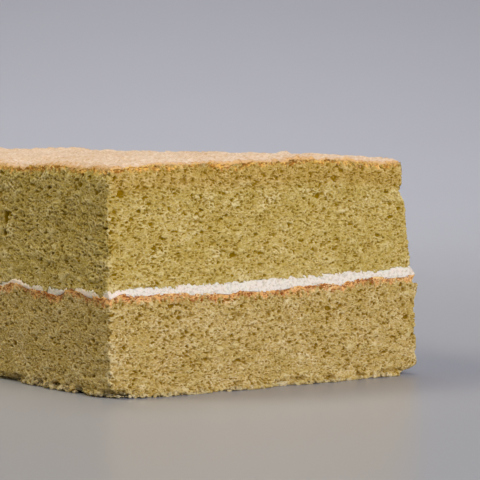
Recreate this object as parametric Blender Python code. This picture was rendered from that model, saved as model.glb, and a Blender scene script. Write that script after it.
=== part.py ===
"""A green tea chiffon cake, cut as a bar: two sheets of sponge with cream between them.

The bar stands on its flat underside. X runs across it, Y along it and Z up, and the
origin is under the middle of its bounding box. Its near corner is at -X, -Y.
"""

import math

import bmesh
import bpy
from mathutils import Vector, noise

MM = 0.001

# The bar as cut
WIDTH = 98.1 * MM
LENGTH = 220.0 * MM
LOWER_HEIGHT = 24.8 * MM
CREAM_HEIGHT = 27.3 * MM
UPPER_HEIGHT = 59.6 * MM
GAP = 0.3 * MM

# The lower sheet and the cream both thicken towards +X
LOWER_RISE = 2.3 * MM
CREAM_RISE = 2.2 * MM
RISE_POWER = 1.7

# The lower sheet's crust is wrinkled along its -X side, and the cream thins over each wrinkle
WRINKLE_HEIGHT = 1.7 * MM
WRINKLE_PITCH = 29.5 * MM
WRINKLE_SKEW = 0.5
FIRST_WRINKLE = 18.0 * MM
WRINKLE_REACH = 16.0 * MM
CREAM_SQUEEZE = 1.1 * MM
SQUEEZE_REACH = 4.0 * MM
CREAM_LEAST = 0.75 * MM

# The upper crust sags towards each cut side: how far, and over what distance
SAG_NEAR_SIDE = 2.4 * MM
SAG_FAR_SIDE = 0.9 * MM
SAG_ENDS = 1.0 * MM
SAG_REACH = 11.0 * MM

# The upper sheet is cut a little smaller than the lower one, and leans in to its top
STEP_BACK = {"near_side": 0.0, "far_side": 2.0 * MM, "near_end": 0.6 * MM, "far_end": 1.2 * MM}
LEAN = {"near_side": 0.5 * MM, "far_side": 2.9 * MM, "near_end": 0.2 * MM, "far_end": 1.6 * MM}

# The cut sides wander a little, the upright corners are blunt, and the torn lower rim is lifted
SIDE_WANDER = 0.28 * MM
CORNER_BLUNT = 0.35 * MM
CORNER_REACH = 3.5 * MM
FOOT_ROUNDING = 1.5 * MM
FOOT_REACH = 2.6 * MM
RIM_LIFT = 0.45 * MM
RIM_WIDTH = 2.9 * MM

# Waves of the crusts: height, distance between rises, seed
LONG_WAVES = (0.55 * MM, 26.0 * MM, 3.0)
SHORT_WAVES = (0.35 * MM, 11.0 * MM, 8.0)
LOWER_WAVES = (0.22 * MM, 17.0 * MM, 14.0)
CREAM_WAVES = (0.15 * MM, 15.0 * MM, 21.0)
SIDE_WAVES = (SIDE_WANDER, 19.0 * MM, 31.0)
RIM_WAVES = (0.3 * MM, 6.0 * MM, 43.0)

# Cells of each sheet's surface, closer together near the cut sides
CELLS_ACROSS = 18
CELLS_ALONG = 40
CELLS_UP = {"sponge_lower": 6, "cream_filling": 1, "sponge_upper": 7}
CLOSER_AT_SIDES = 0.4

# Colour and roughness of each finish
FINISHES = {
    "green_tea_crumb": ("#B39A59", 0.9),
    "pale_green_crumb": ("#B1955D", 0.9),
    "pale_crust": ("#E9CCAB", 0.75),
    "brown_crust": ("#B9803F", 0.8),
    "whipped_cream": ("#F0E6DC", 0.5),
}


def wave(x, y, waves):
    """An uneven rise and fall over the bar."""
    height, pitch, seed = waves
    return height * noise.noise(Vector((x / pitch * 2, y / pitch * 2, seed)))


def falling(distance, reach):
    """1 at a side, and falling off away from it."""
    return math.exp(-max(distance, 0.0) / reach)


def lower_crust(x, y):
    """Height of the lower sheet's crust."""
    across = min(max(x / WIDTH + 0.5, 0.0), 1.0)
    from_corner = y + LENGTH / 2
    turn = 2 * math.pi * (from_corner - FIRST_WRINKLE) / WRINKLE_PITCH
    crest = math.cos(turn + WRINKLE_SKEW * (1 - math.cos(turn)))
    uneven = 0.85 + 0.5 * noise.noise(Vector((from_corner / WRINKLE_PITCH, 0.5, 5.0)))
    near = falling(x + WIDTH / 2, WRINKLE_REACH)
    wrinkle = WRINKLE_HEIGHT * max(crest, 0.0) * uneven * near
    return LOWER_HEIGHT + LOWER_RISE * across**RISE_POWER + wrinkle + wave(x, y, LOWER_WAVES)


def cream_top(x, y):
    """Height of the cream, which is squeezed thin at the -X side and over the wrinkles."""
    across = min(max(x / WIDTH + 0.5, 0.0), 1.0)
    squeeze = CREAM_SQUEEZE * falling(x + WIDTH / 2, SQUEEZE_REACH)
    level = CREAM_HEIGHT + CREAM_RISE * across**RISE_POWER - squeeze + wave(x, y, CREAM_WAVES)
    return max(level, lower_crust(x, y) + CREAM_LEAST)


def upper_crust(x, y):
    """Height of the upper sheet's crust: a low dome with waves, sagging to the cut sides."""
    sag = SAG_NEAR_SIDE * falling(x + WIDTH / 2, SAG_REACH)
    sag += SAG_FAR_SIDE * falling(WIDTH / 2 - x, SAG_REACH)
    sag += SAG_ENDS * falling(LENGTH / 2 - abs(y), SAG_REACH)
    return UPPER_HEIGHT - sag + wave(x, y, LONG_WAVES) + wave(x, y, SHORT_WAVES)


def underside(x, y):
    """Height of the underside: flat, but for its torn rim."""
    inside = min(WIDTH / 2 - abs(x), LENGTH / 2 - abs(y))
    if inside > RIM_WIDTH:
        return 0.0
    return RIM_LIFT + wave(x, y, RIM_WAVES)


def inset(side, z):
    """How far a side of the bar stands back from its outline at a height."""
    step = min(max((z - LOWER_HEIGHT) / (CREAM_HEIGHT - LOWER_HEIGHT), 0.0), 1.0)
    lean = max(z - CREAM_HEIGHT, 0.0) / (UPPER_HEIGHT - CREAM_HEIGHT)
    return STEP_BACK[side] * step + LEAN[side] * lean


def plan_point(across, along, z):
    """The place in plan of a point given as shares of the bar's width and length."""
    left = -WIDTH / 2 + inset("near_side", z)
    right = WIDTH / 2 - inset("far_side", z)
    near = -LENGTH / 2 + inset("near_end", z)
    far = LENGTH / 2 - inset("far_end", z)
    x = left + (right - left) * across
    y = near + (far - near) * along
    to_side = min(x - left, right - x)
    to_end = min(y - near, far - y)
    blunt = CORNER_BLUNT * falling(to_side + to_end, CORNER_REACH)
    blunt += FOOT_ROUNDING * falling(to_side + to_end, CORNER_REACH) * falling(z, FOOT_REACH)
    wander = wave(x + z, y + z, SIDE_WAVES) * falling(min(to_side, to_end), CORNER_REACH)
    x -= math.copysign((blunt + wander) * falling(to_side, CORNER_REACH), x)
    y -= math.copysign((blunt + wander) * falling(to_end, CORNER_REACH), y)
    return x, y


def spread(share):
    """Moves the cells' edges closer together at both ends of the range from 0 to 1."""
    return share - CLOSER_AT_SIDES * math.sin(2 * math.pi * share) / (2 * math.pi)


def finish(name):
    """The material of one finish."""
    colour, roughness = FINISHES[name]
    channels = [int(colour[i : i + 2], 16) / 255 for i in (1, 3, 5)]
    linear = [c / 12.92 if c < 0.04045 else ((c + 0.055) / 1.055) ** 2.4 for c in channels]
    material = bpy.data.materials.new(name)
    material.use_nodes = True
    shader = material.node_tree.nodes["Principled BSDF"]
    shader.inputs["Base Color"].default_value = (*linear, 1.0)
    shader.inputs["Roughness"].default_value = roughness
    shader.inputs["Metallic"].default_value = 0.0
    return material


def cell_block(bm, cells):
    """A unit cube whose faces are cut into cells along X, Y and Z."""
    bmesh.ops.create_cube(bm, size=1.0)
    for axis, count in enumerate(cells):
        edges = [e for e in bm.edges if abs(e.verts[0].co[axis] - e.verts[1].co[axis]) > 0.5]
        bmesh.ops.subdivide_edges(bm, edges=edges, cuts=count - 1, use_grid_fill=True)


def make_sheet(name, low, high, z_low, z_high, crumb, crust=None):
    """One sheet of the bar, between two height functions; z_low and z_high are their levels."""
    bm = bmesh.new()
    cell_block(bm, (CELLS_ACROSS, CELLS_ALONG, CELLS_UP[name]))
    if crust:
        for face in bm.faces:
            face.material_index = int(face.normal.z > 0.5)
    for vert in bm.verts:
        across, along, up = (c + 0.5 for c in vert.co)
        level = z_low + (z_high - z_low) * up
        x, y = plan_point(spread(across), spread(along), level)
        bottom, top = low(x, y), high(x, y)
        vert.co = (x, y, bottom + (top - bottom) * up)
    bmesh.ops.triangulate(bm, faces=bm.faces, quad_method="SHORT_EDGE")
    mesh = bpy.data.meshes.new(name)
    bm.to_mesh(mesh)
    bm.free()
    for slot in filter(None, (crumb, crust)):
        mesh.materials.append(finish(slot))
    mesh.shade_smooth()
    mesh.set_sharp_from_angle(angle=math.radians(40))
    sheet = bpy.data.objects.new(name, mesh)
    return sheet


def centre(sheets):
    """Puts the origin under the middle of the sheets' common box."""
    points = [v.co for sheet in sheets for v in sheet.data.vertices]
    middle = [(min(p[i] for p in points) + max(p[i] for p in points)) / 2 for i in (0, 1)]
    for sheet in sheets:
        for vert in sheet.data.vertices:
            vert.co -= Vector((*middle, 0.0))


def main():
    for obj in list(bpy.data.objects):
        bpy.data.objects.remove(obj)
    collection = bpy.data.collections.new("green_tea_chiffon_cake")
    bpy.context.scene.collection.children.link(collection)
    half = GAP / 2
    sheets = [
        make_sheet(
            "sponge_lower",
            underside,
            lambda x, y: lower_crust(x, y) - half,
            0.0,
            LOWER_HEIGHT,
            "pale_green_crumb",
            "brown_crust",
        ),
        make_sheet(
            "cream_filling",
            lambda x, y: lower_crust(x, y) + half,
            lambda x, y: cream_top(x, y) - half,
            LOWER_HEIGHT,
            CREAM_HEIGHT,
            "whipped_cream",
        ),
        make_sheet(
            "sponge_upper",
            lambda x, y: cream_top(x, y) + half,
            upper_crust,
            CREAM_HEIGHT,
            UPPER_HEIGHT,
            "green_tea_crumb",
            "pale_crust",
        ),
    ]
    centre(sheets)
    for sheet in sheets:
        collection.objects.link(sheet)


main()
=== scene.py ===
"""Green tea chiffon cake: the porous crumb, browned crusts, cream and torn foot of a cut bar."""

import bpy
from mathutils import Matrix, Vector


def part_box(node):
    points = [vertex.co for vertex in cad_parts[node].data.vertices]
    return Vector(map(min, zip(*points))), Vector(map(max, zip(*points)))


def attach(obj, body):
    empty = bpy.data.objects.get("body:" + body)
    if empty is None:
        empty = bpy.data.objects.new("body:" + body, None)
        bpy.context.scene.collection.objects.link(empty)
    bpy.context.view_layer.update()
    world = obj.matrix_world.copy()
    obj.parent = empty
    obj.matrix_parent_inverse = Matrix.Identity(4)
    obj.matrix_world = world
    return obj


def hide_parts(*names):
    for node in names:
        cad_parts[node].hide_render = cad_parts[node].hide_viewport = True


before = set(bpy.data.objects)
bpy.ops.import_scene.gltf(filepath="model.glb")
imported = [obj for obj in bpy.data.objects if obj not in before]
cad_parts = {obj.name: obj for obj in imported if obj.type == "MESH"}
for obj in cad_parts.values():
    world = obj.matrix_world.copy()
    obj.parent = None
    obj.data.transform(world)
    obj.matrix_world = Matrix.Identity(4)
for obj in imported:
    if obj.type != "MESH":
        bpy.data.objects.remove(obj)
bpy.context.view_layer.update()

import functools
import itertools
import math
import random

import bmesh
import bpy
import numpy as np
from mathutils import Matrix, Vector, noise

bl_info = {
    "name": "Green Tea Chiffon Cake",
    "version": (1, 0, 0),
    "blender": (4, 5, 0),
    "location": "View3D > Sidebar > Chiffon Cake",
    "description": "Builds a cut bar of green tea chiffon cake with real crumb around its packed solids",
    "category": "Add Mesh",
}

MM = 0.001

# The bar: its plan comes from the frame, its levels and waves from the same rules as its solids
LOWER_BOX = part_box("sponge_lower")
WIDTH = LOWER_BOX[1].x - LOWER_BOX[0].x
LENGTH = LOWER_BOX[1].y - LOWER_BOX[0].y
LOWER_HEIGHT = 24.8 * MM
CREAM_HEIGHT = 27.3 * MM
UPPER_HEIGHT = 59.6 * MM
LOWER_RISE = 2.3 * MM
CREAM_RISE = 2.2 * MM
RISE_POWER = 1.7
WRINKLE_HEIGHT = 1.7 * MM
WRINKLE_PITCH = 29.5 * MM
WRINKLE_SKEW = 0.5
FIRST_WRINKLE = 18.0 * MM
WRINKLE_REACH = 16.0 * MM
CREAM_SQUEEZE = 1.1 * MM
SQUEEZE_REACH = 4.0 * MM
CREAM_LEAST = 0.75 * MM
SAG_NEAR_SIDE = 2.4 * MM
SAG_FAR_SIDE = 0.9 * MM
SAG_ENDS = 1.0 * MM
SAG_REACH = 11.0 * MM
STEP_BACK = {"near_side": 0.0, "far_side": 2.0 * MM, "near_end": 0.6 * MM, "far_end": 1.2 * MM}
LEAN = {"near_side": 0.5 * MM, "far_side": 2.9 * MM, "near_end": 0.2 * MM, "far_end": 1.6 * MM}
CORNER_BLUNT = 0.35 * MM
CORNER_REACH = 3.5 * MM
FOOT_ROUNDING = 1.5 * MM
FOOT_REACH = 2.6 * MM
RIM_LIFT = 0.45 * MM
RIM_WIDTH = 2.9 * MM

# Waves: height, distance between rises, seed. Their heights are worked out over a lattice
LONG_WAVES = (0.55 * MM, 26.0 * MM, 3.0)
SHORT_WAVES = (0.35 * MM, 11.0 * MM, 8.0)
LOWER_WAVES = (0.22 * MM, 17.0 * MM, 14.0)
CREAM_WAVES = (0.15 * MM, 15.0 * MM, 21.0)
SIDE_WAVES = (0.28 * MM, 19.0 * MM, 31.0)
RIM_WAVES = (0.3 * MM, 6.0 * MM, 43.0)
LATTICE_STEP = 1.0 * MM
LATTICE_FROM = -130.0 * MM
LATTICE_TO = 190.0 * MM

# Families of air bubbles in the crumb: distance between them, least and greatest radius as
# shares of it, how many of them there are, and how much of their depth the torn cut keeps open
BUBBLE_FAMILIES = (
    (3.4 * MM, 0.14, 0.34, 0.55, 0.5),
    (1.7 * MM, 0.18, 0.44, 0.9, 0.7),
    (1.0 * MM, 0.24, 0.58, 0.95, 0.8),
    (0.62 * MM, 0.25, 0.6, 1.0, 0.9),
)

# Larger pits in the two shown sides: how far they are from the near corner along X, Y and up,
# then half their width and height, and their depth, all in mm
UPPER_PITS = (
    (3.9, 0, 49.9, 0.9, 0.8, 0.9), (8.8, 0, 34.5, 0.6, 0.4, 0.6),
    (37.3, 0, 48.5, 0.6, 0.6, 0.9), (64.5, 0, 49.1, 1.1, 0.8, 0.9),
    (63.2, 0, 35, 0.8, 0.8, 0.8), (54.4, 0, 35.8, 0.6, 0.5, 0.8),
    (58.6, 0, 37.5, 0.8, 0.5, 0.7), (70.1, 0, 53.7, 1.3, 0.8, 0.7),
    (55, 0, 42, 0.6, 0.5, 0.7), (47.3, 0, 54.5, 0.7, 0.6, 0.7),
    (22.6, 0, 53.8, 1.2, 0.8, 0.6), (0, 52, 43.1, 1.1, 2.2, 1.6),
    (0, 52.6, 39.1, 0.9, 0.8, 1.2), (0, 16.7, 51.8, 0.9, 0.7, 0.8),
    (0, 39.9, 35.7, 0.8, 0.6, 0.8), (0, 12, 35.2, 0.9, 0.5, 0.8),
)
LOWER_PITS = (
    (82.3, 0, 25.4, 0.9, 0.7, 0.8), (92.8, 0, 19.1, 2.6, 1.6, 0.22),
    (8.8, 0, 20.6, 0.8, 0.5, 0.8), (24.6, 0, 14.8, 0.7, 0.5, 0.7),
    (38.5, 0, 19.4, 2.2, 0.7, 0.45), (41.3, 0, 11, 0.6, 0.4, 0.7),
    (11.1, 0, 9.6, 0.8, 0.5, 0.6), (4.7, 0, 17.1, 0.6, 0.6, 0.6),
    (71.5, 0, 20.1, 0.9, 0.7, 0.6), (0, 9.7, 21.4, 1.1, 0.8, 0.8),
    (0, 10.2, 18.6, 0.6, 0.7, 0.7),
)

# How far in from the bar's outline a side may lie and still have its pits, mm
PIT_REACH = 4.0

# Small rises and dips of the lower crust along the near end: place, half width and height, mm
NEAR_RISES = (
    (3.5, 5, 1.2), (8.5, 4, 0.4), (14.5, 6, 0.7), (21, 5, 0.4), (36.5, 5, -0.5),
    (48.5, 8, -0.7), (60.5, 4, -0.3), (71.5, 4, -0.8), (81, 7, 0.5),
)
RISE_REACH = 3.0 * MM

# The same along the -X side, from the near corner
SIDE_RISES = ((10, 4, -0.3), (27.5, 4.5, -0.7))

# And of the upper crust, along the near end, the -X side and the +X side
NEAR_TOP_RISES = (
    (21, 5, -0.3), (35, 10, -0.7), (51, 8, -0.6), (61, 5, 0.4), (74, 8, 0.25),
    (87, 9, -0.7),
)
SIDE_TOP_RISES = ((26, 9, 0.7), (46, 8, -0.6))
FAR_TOP_RISES = (
    (91, 12, -1.4), (115, 7, -0.45), (140, 14, -0.7), (166, 13, 1.4),
    (180, 12, -0.6), (203, 24, -0.15),
)
TOP_RISE_REACH = 12.0 * MM

# Rows of cells up the cream, and how thin it is where it starts to soak in, and over how much
CREAM_CELLS = 5
THIN_FROM = 1.6 * MM
THIN_OVER = 0.8 * MM

# The upper sponge's hem hangs a little below the cream's top all round
HEM_DROP = 0.45 * MM
END_HEM_DROP = 0.3 * MM
NEAR_HEM_DROPS = ((37, 5, 0.4), (71, 12, 0.4))

# Where the upper sheet laps down over the cream at the -X side: distance from the near corner,
# half width, how far down it reaches, and how far it stands out from the side, mm
LAPS = (
    (1.4, 2.4, -0.8, 0), (4.4, 1, 3, -0.7), (9.6, 3.6, -0.6, 0), (18.2, 4.8, 0.5, 0.15),
    (30.8, 1.6, 1.7, 0.2),
)
LAP_REACH = 2.0 * MM

# How far the torn foot spreads beyond the near end, or falls short of it, against X, and how far
# beyond the -X side, against the distance from the near corner, all in mm
NEAR_FOOT = (
    (0, -3.2), (3, -2.2), (6, -0.6), (10, 1.8), (16, 2.3), (45, 2.4), (51, 0.4), (55, 0.5),
    (58, 2.0), (62, 1.8), (65, 0.7), (69, 2.2), (74, 0.4), (77, 1.8), (82, 0.6), (94, 0.3),
    (98, 0.0),
)
SIDE_FOOT = (
    (0, -3.2), (5, -2.6), (7, -0.9), (10.5, -0.6), (14, -1.6), (16.5, -1.4), (18, -0.2),
    (24, -0.3), (26, -1.4), (27.5, 0.1), (31.5, 0.1), (33.5, -1.4), (35, -0.3), (43.5, -0.3),
    (46, -2.2), (50, -3.0), (56, -2.6), (60, -0.5),
)
FOOT_TOP = 2.5 * MM
FOOT_SIDE_REACH = 4.0 * MM

# The stretches beside the near corner where the foot is torn in, and its crumbs are small
RECESS_END = 7.0 * MM
RECESS_SIDE = 9.0 * MM
RECESS_SHARE = 0.6
RECESS_LIFT = 0.25 * MM

# Crumbs all round the foot: how wide their groups are, the noise under which there is a gap
# between groups, how many vertices are built at once, the height of the place that each grows
# from, and the least height of their surface
AROUND = 2 * (WIDTH + LENGTH)
FOOT_GROUP = 7.0 * MM
GROUP_LEAST = -0.15
GROUP_VERTICES = 4000
FOOT_PLACE_HEIGHT = 0.3 * MM
CRUMB_FLOOR = 0.02 * MM

# A depth below the crust, in mm, that has nothing of its browned band
FAR_BELOW_CRUST = 20.0

# Notches in the foot and lumps below them: their level, half height, and depth or height
NOTCH = (1.5 * MM, 0.45 * MM, 1.5 * MM)
LUMP = (0.8 * MM, 0.9 * MM, 0.8 * MM)

# Banks of torn crumb at the foot of the -X side: distance from the near corner, width, height, mm
FOOT_BANKS = ((8.7, 4.5, 1.5), (21, 7, 1.9), (29.6, 4.2, 2), (39, 8, 2.2))
CRUMBS_PER_MM = 6.0

# How far the near end's upright corners stand out or fall short along X, against height, mm:
# the near corner, at -X, and the far one, at +X
NEAR_CORNER = ((27, 0), (36, 0.5), (46, 0.9), (58, 0.8))
FAR_CORNER = (
    (0.6, -6.2), (1.5, -0.4), (2.5, 3), (4.3, 1.8), (5.7, -0.1), (7.7, 1.3), (11, -0.5),
    (13.3, -0.5), (14.5, 0.1), (17.7, -0.7), (21, -0.2), (23.5, 0.7), (24.4, 0.3), (25.4, -1.3),
    (27.5, 0), (33, 0.6), (35.5, 0.3), (45, 0.4), (46.5, 0.5), (48, -0.8), (50, -1.6),
    (52, 0.1), (55, 0.9), (57, 1.7),
)
CORNER_SPREAD = 3.0 * MM
FAR_CORNER_BARE = 6.0 * MM

# The upright corners are worn round, over these distances along X and Y, and soft and crumbly
# for some way beside them
LOWER_CORNER = (1.6 * MM, 0.8 * MM)
UPPER_CORNER = (0.8 * MM, 2.2 * MM)
CORNER_SOFT = 1.3 * MM

# The rim under the crust leans in by RIM_ROUND over RIM_DEPTH. The crust curls over it, and
# ends in a nose at the far corner
RIM_ROUND = 0.9 * MM
RIM_DEPTH = 3.2 * MM
CRUST_ROUND = RIM_ROUND + 0.1 * MM
CURL_REACH = 4.0 * MM
NOSE_REACH = 3.0 * MM
LIP_RADIUS = 0.9 * MM
LIP_DROP = 0.5 * MM
LEFT_LIP_DROP = 0.45 * MM
LEFT_LIP_REACH = 3.0 * MM
CRUST_THICK = 1.4 * MM

# How far the upper sponge's closing ring lies under the crust
CAP_DROP = 1.6 * MM

# The pores are shallower in the crust's own depth, and the crumb is more golden down to
# GILT_DEPTH under it, fading out over GILT_FADE
SKIN_DEPTH = 0.7 * MM
GILT_DEPTH = 8.0 * MM
GILT_FADE = 3.0 * MM

# Ripples: height and width of the rises in mm, and seed
CRUST_RIPPLES = ((0.3, 6.0, 301), (0.22, 2.4, 302), (0.36, 1.1, 303))
TEETH = ((0.5, 1.8, 231), (0.4, 0.8, 232))
HEM_RIPPLES = ((0.35, 0.9, 233), (0.15, 0.4, 234))
CRUMB_BULGES = ((0.4, 0.8, 501), (0.2, 0.4, 502))
TUFTS = ((0.3, 1.1, 401), (0.18, 0.6, 402))
SPIKE_HEIGHT = 0.8 * MM

# A low knob on the upper crust, and its place from the near corner
KNOB_PLACE = (86, 45)
KNOB_HEIGHT = 1.0 * MM
KNOB_RADIUS = 1.8 * MM

# The stretch of the -X side that the camera sees, measured from the near corner, and how far
# in from the shown edges the crust's cells are finer
SHOWN_SIDE = 60.0 * MM
LID_FINE_REACH = 30.0 * MM

# Where a unit box's sides are, how far a normal leans along an axis to face along it, and how
# much smaller a closing ring is than its rim
UNIT_SIDE = 0.4999
FACING = 0.7
CAP_SHARE = (0.93, 0.97, 1.0)

# The camera stands this far from the near bottom corner, and looks this way
CAMERA_FROM_CORNER = Vector((-281.4, -450.7, 67.0)) * MM
CAMERA_YAW = math.radians(35.42)
CAMERA_DOWN = math.radians(2.97)
CAMERA_LENS = 162.9
CAMERA_SENSOR = 36.0

# The table sweeps up into its backdrop behind the cake
TABLE_HALF = 2.5
TABLE_FRONT = -2.0
SWEEP_START = 0.6
SWEEP_RADIUS = 3.0
SWEEP_TURN = math.radians(80)

# Strength of the room's own light, and how bright the room beyond the backdrop looks
ROOM_LIGHT = 0.02
ROOM_SEEN = 0.12


def from_hex(text):
    """A linear colour from an sRGB hex value."""
    channels = [int(text[i : i + 2], 16) / 255 for i in (1, 3, 5)]
    return [c / 12.92 if c < 0.04045 else ((c + 0.055) / 1.055) ** 2.4 for c in channels]


# Shape of the bar


@functools.lru_cache(maxsize=None)
def wave_heights(waves):
    """A wave's heights over a lattice that covers the bar."""
    height, pitch, seed = waves
    steps = np.arange(LATTICE_FROM, LATTICE_TO, LATTICE_STEP)
    places = itertools.product(steps / pitch * 2, repeat=2)
    heights = [noise.noise(Vector((x, y, seed))) for x, y in places]
    return height * np.array(heights).reshape(len(steps), len(steps))


def wave(x, y, waves):
    """An uneven rise and fall over the bar."""
    lattice = wave_heights(waves)
    across, along = ((v - LATTICE_FROM) / LATTICE_STEP for v in (x, y))
    i, j = across.astype(int), along.astype(int)
    u, v = across - i, along - j
    near = lattice[i, j] * (1 - v) + lattice[i, j + 1] * v
    far = lattice[i + 1, j] * (1 - v) + lattice[i + 1, j + 1] * v
    return near * (1 - u) + far * u


def falling(distance, reach):
    """1 at a side, and falling off away from it."""
    return np.exp(-np.maximum(distance, 0.0) / reach)


def lower_crust(x, y):
    """Height of the lower sheet's crust."""
    across = np.clip(x / WIDTH + 0.5, 0.0, 1.0)
    from_corner = y + LENGTH / 2
    turn = 2 * math.pi * (from_corner - FIRST_WRINKLE) / WRINKLE_PITCH
    crest = np.cos(turn + WRINKLE_SKEW * (1 - np.cos(turn)))
    steps = np.arange(-20.0, LENGTH / MM + 20.0)
    sizes = [0.85 + 0.5 * noise.noise(Vector((s * MM / WRINKLE_PITCH, 0.5, 5.0))) for s in steps]
    uneven = np.interp(from_corner / MM, steps, sizes)
    wrinkle = WRINKLE_HEIGHT * np.maximum(crest, 0.0) * uneven
    wrinkle *= falling(x + WIDTH / 2, WRINKLE_REACH)
    level = LOWER_HEIGHT + LOWER_RISE * across**RISE_POWER + wave(x, y, LOWER_WAVES)
    level += rises(x + WIDTH / 2, NEAR_RISES) * falling(from_corner, RISE_REACH)
    level += rises(from_corner, SIDE_RISES) * falling(x + WIDTH / 2, RISE_REACH)
    return level + wrinkle


def rises(distance, listed):
    """Height of the small rises and dips of a crust along an edge."""
    place = distance / MM
    height = np.zeros(len(distance))
    for middle, half, rise in listed:
        off = np.clip(abs(place - middle) / half, 0.0, 1.0)
        height += rise * MM * np.cos(off * math.pi / 2) ** 2
    return height


def cream_top(x, y):
    """Height of the cream, which is squeezed thin at the -X side and over the wrinkles."""
    across = np.clip(x / WIDTH + 0.5, 0.0, 1.0)
    squeeze = CREAM_SQUEEZE * falling(x + WIDTH / 2, SQUEEZE_REACH)
    level = CREAM_HEIGHT + CREAM_RISE * across**RISE_POWER - squeeze + wave(x, y, CREAM_WAVES)
    return np.maximum(level, lower_crust(x, y) + CREAM_LEAST)


def upper_crust(x, y):
    """Height of the upper sheet's crust: a low dome with waves, sagging to the cut sides."""
    sag = SAG_NEAR_SIDE * falling(x + WIDTH / 2, SAG_REACH)
    sag += SAG_FAR_SIDE * falling(WIDTH / 2 - x, SAG_REACH)
    sag += SAG_ENDS * falling(LENGTH / 2 - abs(y), SAG_REACH)
    near = rises(x + WIDTH / 2, NEAR_TOP_RISES) * falling(y + LENGTH / 2, TOP_RISE_REACH)
    near += rises(y + LENGTH / 2, SIDE_TOP_RISES) * falling(x + WIDTH / 2, TOP_RISE_REACH)
    far = rises(y + LENGTH / 2, FAR_TOP_RISES) * falling(WIDTH / 2 - x, 2 * TOP_RISE_REACH)
    return UPPER_HEIGHT - sag + near + far + wave(x, y, LONG_WAVES) + wave(x, y, SHORT_WAVES)


def underside(x, y):
    """Height of the underside: flat, but for its torn rim."""
    inside = np.minimum(WIDTH / 2 - abs(x), LENGTH / 2 - abs(y))
    torn = np.clip((RIM_WIDTH - inside) / RIM_WIDTH, 0.0, 1.0)
    return torn * (RIM_LIFT + wave(x, y, RIM_WAVES))


def inset(side, z):
    """How far a side of the bar stands back from its outline at a height."""
    step = np.clip((z - LOWER_HEIGHT) / (CREAM_HEIGHT - LOWER_HEIGHT), 0.0, 1.0)
    lean = np.maximum(z - CREAM_HEIGHT, 0.0) / (UPPER_HEIGHT - CREAM_HEIGHT)
    return STEP_BACK[side] * step + LEAN[side] * lean


def plan_point(across, along, z):
    """The place in plan of points given as shares of the bar's width and length."""
    left = -WIDTH / 2 + inset("near_side", z)
    right = WIDTH / 2 - inset("far_side", z)
    near = -LENGTH / 2 + inset("near_end", z)
    far = LENGTH / 2 - inset("far_end", z)
    x = left + (right - left) * across
    y = near + (far - near) * along
    to_side = np.minimum(x - left, right - x)
    to_end = np.minimum(y - near, far - y)
    corner = falling(to_side + to_end, CORNER_REACH)
    blunt = CORNER_BLUNT * corner + FOOT_ROUNDING * corner * falling(z, FOOT_REACH)
    wander = wave(x + z, y + z, SIDE_WAVES) * falling(np.minimum(to_side, to_end), CORNER_REACH)
    moved_x = x - np.sign(x) * (blunt + wander) * falling(to_side, CORNER_REACH)
    moved_y = y - np.sign(y) * (blunt + wander) * falling(to_end, CORNER_REACH)
    return moved_x, moved_y


# Fine relief, worked out for every vertex at once


def drawn(cells, seed, count):
    """Numbers from 0 to 1 for each cell of an endless lattice, the same at each run."""
    mixed = cells.astype(np.int64).astype(np.uint64)
    key = mixed[:, 0] * np.uint64(0x9E3779B1) ^ mixed[:, 1] * np.uint64(0x85EBCA77)
    key ^= mixed[:, 2] * np.uint64(0xC2B2AE3D) ^ np.uint64(seed * 7919)
    numbers = []
    for _ in range(count):
        key = (key ^ (key >> np.uint64(15))) * np.uint64(0x2C1B3C6D)
        key = (key ^ (key >> np.uint64(12))) * np.uint64(0x297A2D39)
        key ^= key >> np.uint64(17)
        numbers.append((key & np.uint64(0xFFFFFF)).astype(float) / 0xFFFFFF)
    return numbers


def ripple(points, size, seed):
    """A smooth uneven field from -1 to 1 whose rises are about as wide as size."""
    place = points / size
    cell = np.floor(place)
    share = place - cell
    share = share * share * (3 - 2 * share)
    total = np.zeros(len(points))
    for corner in itertools.product((0, 1), repeat=3):
        offset = np.array(corner)
        weight = np.prod(np.where(offset, share, 1 - share), axis=1)
        total += weight * drawn(cell + offset, seed, 1)[0]
    return 2 * total - 1


def bubbles(points, normals, size, radii, chance, seed):
    """How deep air bubbles cut at random by a surface reach below it. size is the lattice's cell,
    and radii are the least and greatest as shares of it."""
    place = points / size
    cell = np.floor(place)
    depth = np.zeros(len(points))
    for offset in itertools.product((-1, 0, 1), repeat=3):
        near = cell + np.array(offset)
        jitter_x, jitter_y, jitter_z, wide, kept = drawn(near, seed, 5)
        to_centre = near + np.column_stack((jitter_x, jitter_y, jitter_z)) - place
        radius = radii[0] + (radii[1] - radii[0]) * wide**2
        radius[kept > chance] = 0.0
        below = -np.einsum("ij,ij->i", to_centre, normals)
        beside = np.einsum("ij,ij->i", to_centre, to_centre) - below**2
        half = np.sqrt(np.maximum(radius**2 - beside, 0.0))
        open_pit = (half > 0) & (abs(below) < half)
        depth = np.maximum(depth, np.where(open_pit, below + half, 0.0))
    return depth * size


# Meshes


def vertex_numbers(mesh, name):
    """A vertex vector of a mesh as an array."""
    numbers = np.empty(len(mesh.vertices) * 3, np.float32)
    mesh.vertices.foreach_get(name, numbers)
    return numbers.reshape(-1, 3).astype(float)


def move_vertices(mesh, points):
    """Puts the vertices of a mesh at new places."""
    mesh.vertices.foreach_set("co", points.astype(np.float32).ravel())
    mesh.update()


def store(mesh, name, values):
    """Keeps a number for each vertex, which a material reads."""
    attribute = mesh.attributes.new(name, "FLOAT", "POINT")
    attribute.data.foreach_set("value", np.asarray(values, np.float32))


def edges_along(bm, axis):
    """The edges of a box that run along an axis."""
    return [e for e in bm.edges if abs(e.verts[0].co[axis] - e.verts[1].co[axis]) > 0.5]


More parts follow.
